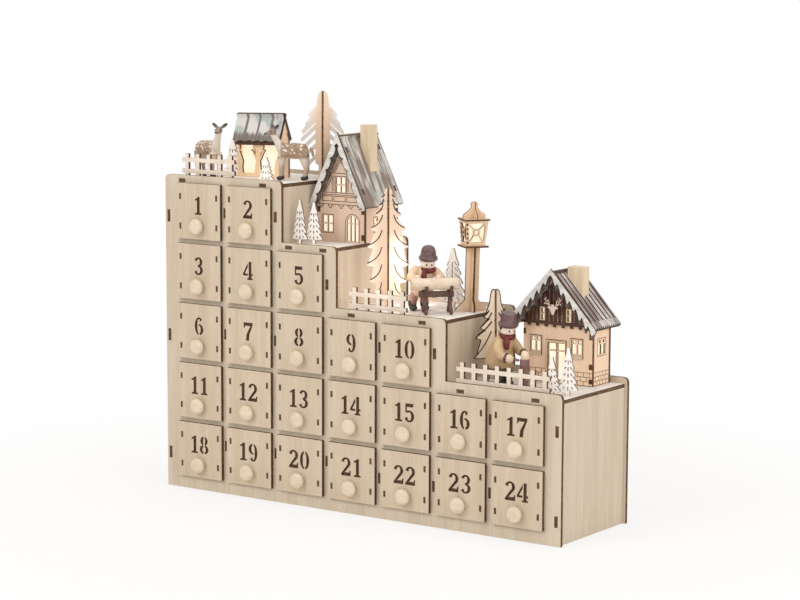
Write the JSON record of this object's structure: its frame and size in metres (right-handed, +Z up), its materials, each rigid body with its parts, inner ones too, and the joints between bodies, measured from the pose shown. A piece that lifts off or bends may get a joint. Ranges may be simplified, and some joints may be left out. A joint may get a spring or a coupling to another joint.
{
  "type": "advent calendar",
  "caption": "Stepped plywood chest of numbered pull-out drawers with round knobs, under a lit winter village of houses, trees, fences, a lamp and carved figures.",
  "frame": {"origin": "middle of the base on the table, under the middle of the overall depth", "axes": "+X to the viewer's right along the front, +Y from the numbered front to the back, +Z up"},
  "size_m": [0.3984, 0.1136, 0.3421],
  "materials": {
    "birch_plywood": "bare birch plywood, sanded, with edges darkened by the laser",
    "drawer_plywood": "bare birch plywood plate and tray, turned beech knob",
    "white_painted_plywood": "matt white paint on plywood",
    "whitewashed_plywood": "thin matt white wash on plywood with darkened edges",
    "grey_painted_plywood": "matt grey-brown paint with brushed white",
    "painted_wood_fawn": "satin brown-grey paint with light spots",
    "painted_wood_figure": "satin paint in cream, maroon and dark red",
    "black_plastic": "moulded, fine matt grain"
  },
  "bodies": {
    "chest": {"front_panel": "birch_plywood", "back_panel": "birch_plywood", "left_end_panel": "birch_plywood", "right_end_panel": "birch_plywood", "riser_2": "birch_plywood", "riser_3": "birch_plywood", "riser_5": "birch_plywood", "divider_1": "birch_plywood", "divider_4": "birch_plywood", "divider_6": "birch_plywood", "shelf_1": "birch_plywood", "shelf_2": "birch_plywood", "shelf_3": "birch_plywood", "shelf_4": "birch_plywood", "base_board": "birch_plywood", "terrace_1": "white_painted_plywood", "terrace_2": "white_painted_plywood", "terrace_3": "white_painted_plywood", "terrace_4": "white_painted_plywood", "feeding_hut": "grey_painted_plywood", "tall_house_walls": "birch_plywood", "tall_house_roof": "grey_painted_plywood", "cottage_walls": "birch_plywood", "cottage_roof": "grey_painted_plywood", "street_lamp": "birch_plywood", "tree_top_terrace": "whitewashed_plywood", "tree_tall": "whitewashed_plywood", "tree_low_terrace": "whitewashed_plywood", "fence_top_terrace": "whitewashed_plywood", "fence_middle_terrace": "whitewashed_plywood", "fence_low_terrace": "whitewashed_plywood", "fawn_left": "painted_wood_fawn", "fawn_right": "painted_wood_fawn", "sawyer_at_log": "painted_wood_figure", "splitter_at_block": "painted_wood_figure"},
    "drawer_01": {"drawer_01": "drawer_plywood"},
    "drawer_02": {"drawer_02": "drawer_plywood"},
    "drawer_03": {"drawer_03": "drawer_plywood"},
    "drawer_04": {"drawer_04": "drawer_plywood"},
    "drawer_05": {"drawer_05": "drawer_plywood"},
    "drawer_06": {"drawer_06": "drawer_plywood"},
    "drawer_07": {"drawer_07": "drawer_plywood"},
    "drawer_08": {"drawer_08": "drawer_plywood"},
    "drawer_09": {"drawer_09": "drawer_plywood"},
    "drawer_10": {"drawer_10": "drawer_plywood"},
    "drawer_11": {"drawer_11": "drawer_plywood"},
    "drawer_12": {"drawer_12": "drawer_plywood"},
    "drawer_13": {"drawer_13": "drawer_plywood"},
    "drawer_14": {"drawer_14": "drawer_plywood"},
    "drawer_15": {"drawer_15": "drawer_plywood"},
    "drawer_16": {"drawer_16": "drawer_plywood"},
    "drawer_17": {"drawer_17": "drawer_plywood"},
    "drawer_18": {"drawer_18": "drawer_plywood"},
    "drawer_19": {"drawer_19": "drawer_plywood"},
    "drawer_20": {"drawer_20": "drawer_plywood"},
    "drawer_21": {"drawer_21": "drawer_plywood"},
    "drawer_22": {"drawer_22": "drawer_plywood"},
    "drawer_23": {"drawer_23": "drawer_plywood"},
    "drawer_24": {"drawer_24": "drawer_plywood"},
    "battery_box": {"battery_box": "black_plastic"}
  },
  "joints": [
    {"name": "drawer_01_slide", "type": "slide", "parent": "chest", "child": "drawer_01", "axis": [0, -1, 0], "range_m": [0, 0.062]},
    {"name": "drawer_02_slide", "type": "slide", "parent": "chest", "child": "drawer_02", "axis": [0, -1, 0], "range_m": [0, 0.062]},
    {"name": "drawer_03_slide", "type": "slide", "parent": "chest", "child": "drawer_03", "axis": [0, -1, 0], "range_m": [0, 0.062]},
    {"name": "drawer_04_slide", "type": "slide", "parent": "chest", "child": "drawer_04", "axis": [0, -1, 0], "range_m": [0, 0.062]},
    {"name": "drawer_05_slide", "type": "slide", "parent": "chest", "child": "drawer_05", "axis": [0, -1, 0], "range_m": [0, 0.062]},
    {"name": "drawer_06_slide", "type": "slide", "parent": "chest", "child": "drawer_06", "axis": [0, -1, 0], "range_m": [0, 0.062]},
    {"name": "drawer_07_slide", "type": "slide", "parent": "chest", "child": "drawer_07", "axis": [0, -1, 0], "range_m": [0, 0.062]},
    {"name": "drawer_08_slide", "type": "slide", "parent": "chest", "child": "drawer_08", "axis": [0, -1, 0], "range_m": [0, 0.062]},
    {"name": "drawer_09_slide", "type": "slide", "parent": "chest", "child": "drawer_09", "axis": [0, -1, 0], "range_m": [0, 0.062]},
    {"name": "drawer_10_slide", "type": "slide", "parent": "chest", "child": "drawer_10", "axis": [0, -1, 0], "range_m": [0, 0.062]},
    {"name": "drawer_11_slide", "type": "slide", "parent": "chest", "child": "drawer_11", "axis": [0, -1, 0], "range_m": [0, 0.062]},
    {"name": "drawer_12_slide", "type": "slide", "parent": "chest", "child": "drawer_12", "axis": [0, -1, 0], "range_m": [0, 0.062]},
    {"name": "drawer_13_slide", "type": "slide", "parent": "chest", "child": "drawer_13", "axis": [0, -1, 0], "range_m": [0, 0.062]},
    {"name": "drawer_14_slide", "type": "slide", "parent": "chest", "child": "drawer_14", "axis": [0, -1, 0], "range_m": [0, 0.062]},
    {"name": "drawer_15_slide", "type": "slide", "parent": "chest", "child": "drawer_15", "axis": [0, -1, 0], "range_m": [0, 0.062]},
    {"name": "drawer_16_slide", "type": "slide", "parent": "chest", "child": "drawer_16", "axis": [0, -1, 0], "range_m": [0, 0.062]},
    {"name": "drawer_17_slide", "type": "slide", "parent": "chest", "child": "drawer_17", "axis": [0, -1, 0], "range_m": [0, 0.062]},
    {"name": "drawer_18_slide", "type": "slide", "parent": "chest", "child": "drawer_18", "axis": [0, -1, 0], "range_m": [0, 0.062]},
    {"name": "drawer_19_slide", "type": "slide", "parent": "chest", "child": "drawer_19", "axis": [0, -1, 0], "range_m": [0, 0.062]},
    {"name": "drawer_20_slide", "type": "slide", "parent": "chest", "child": "drawer_20", "axis": [0, -1, 0], "range_m": [0, 0.062]},
    {"name": "drawer_21_slide", "type": "slide", "parent": "chest", "child": "drawer_21", "axis": [0, -1, 0], "range_m": [0, 0.062]},
    {"name": "drawer_22_slide", "type": "slide", "parent": "chest", "child": "drawer_22", "axis": [0, -1, 0], "range_m": [0, 0.062]},
    {"name": "drawer_23_slide", "type": "slide", "parent": "chest", "child": "drawer_23", "axis": [0, -1, 0], "range_m": [0, 0.062]},
    {"name": "drawer_24_slide", "type": "slide", "parent": "chest", "child": "drawer_24", "axis": [0, -1, 0], "range_m": [0, 0.062]},
    {"name": "battery_box_slide", "type": "slide", "parent": "chest", "child": "battery_box", "axis": [0, 1, 0], "range_m": [0, 0.022]}
  ]
}
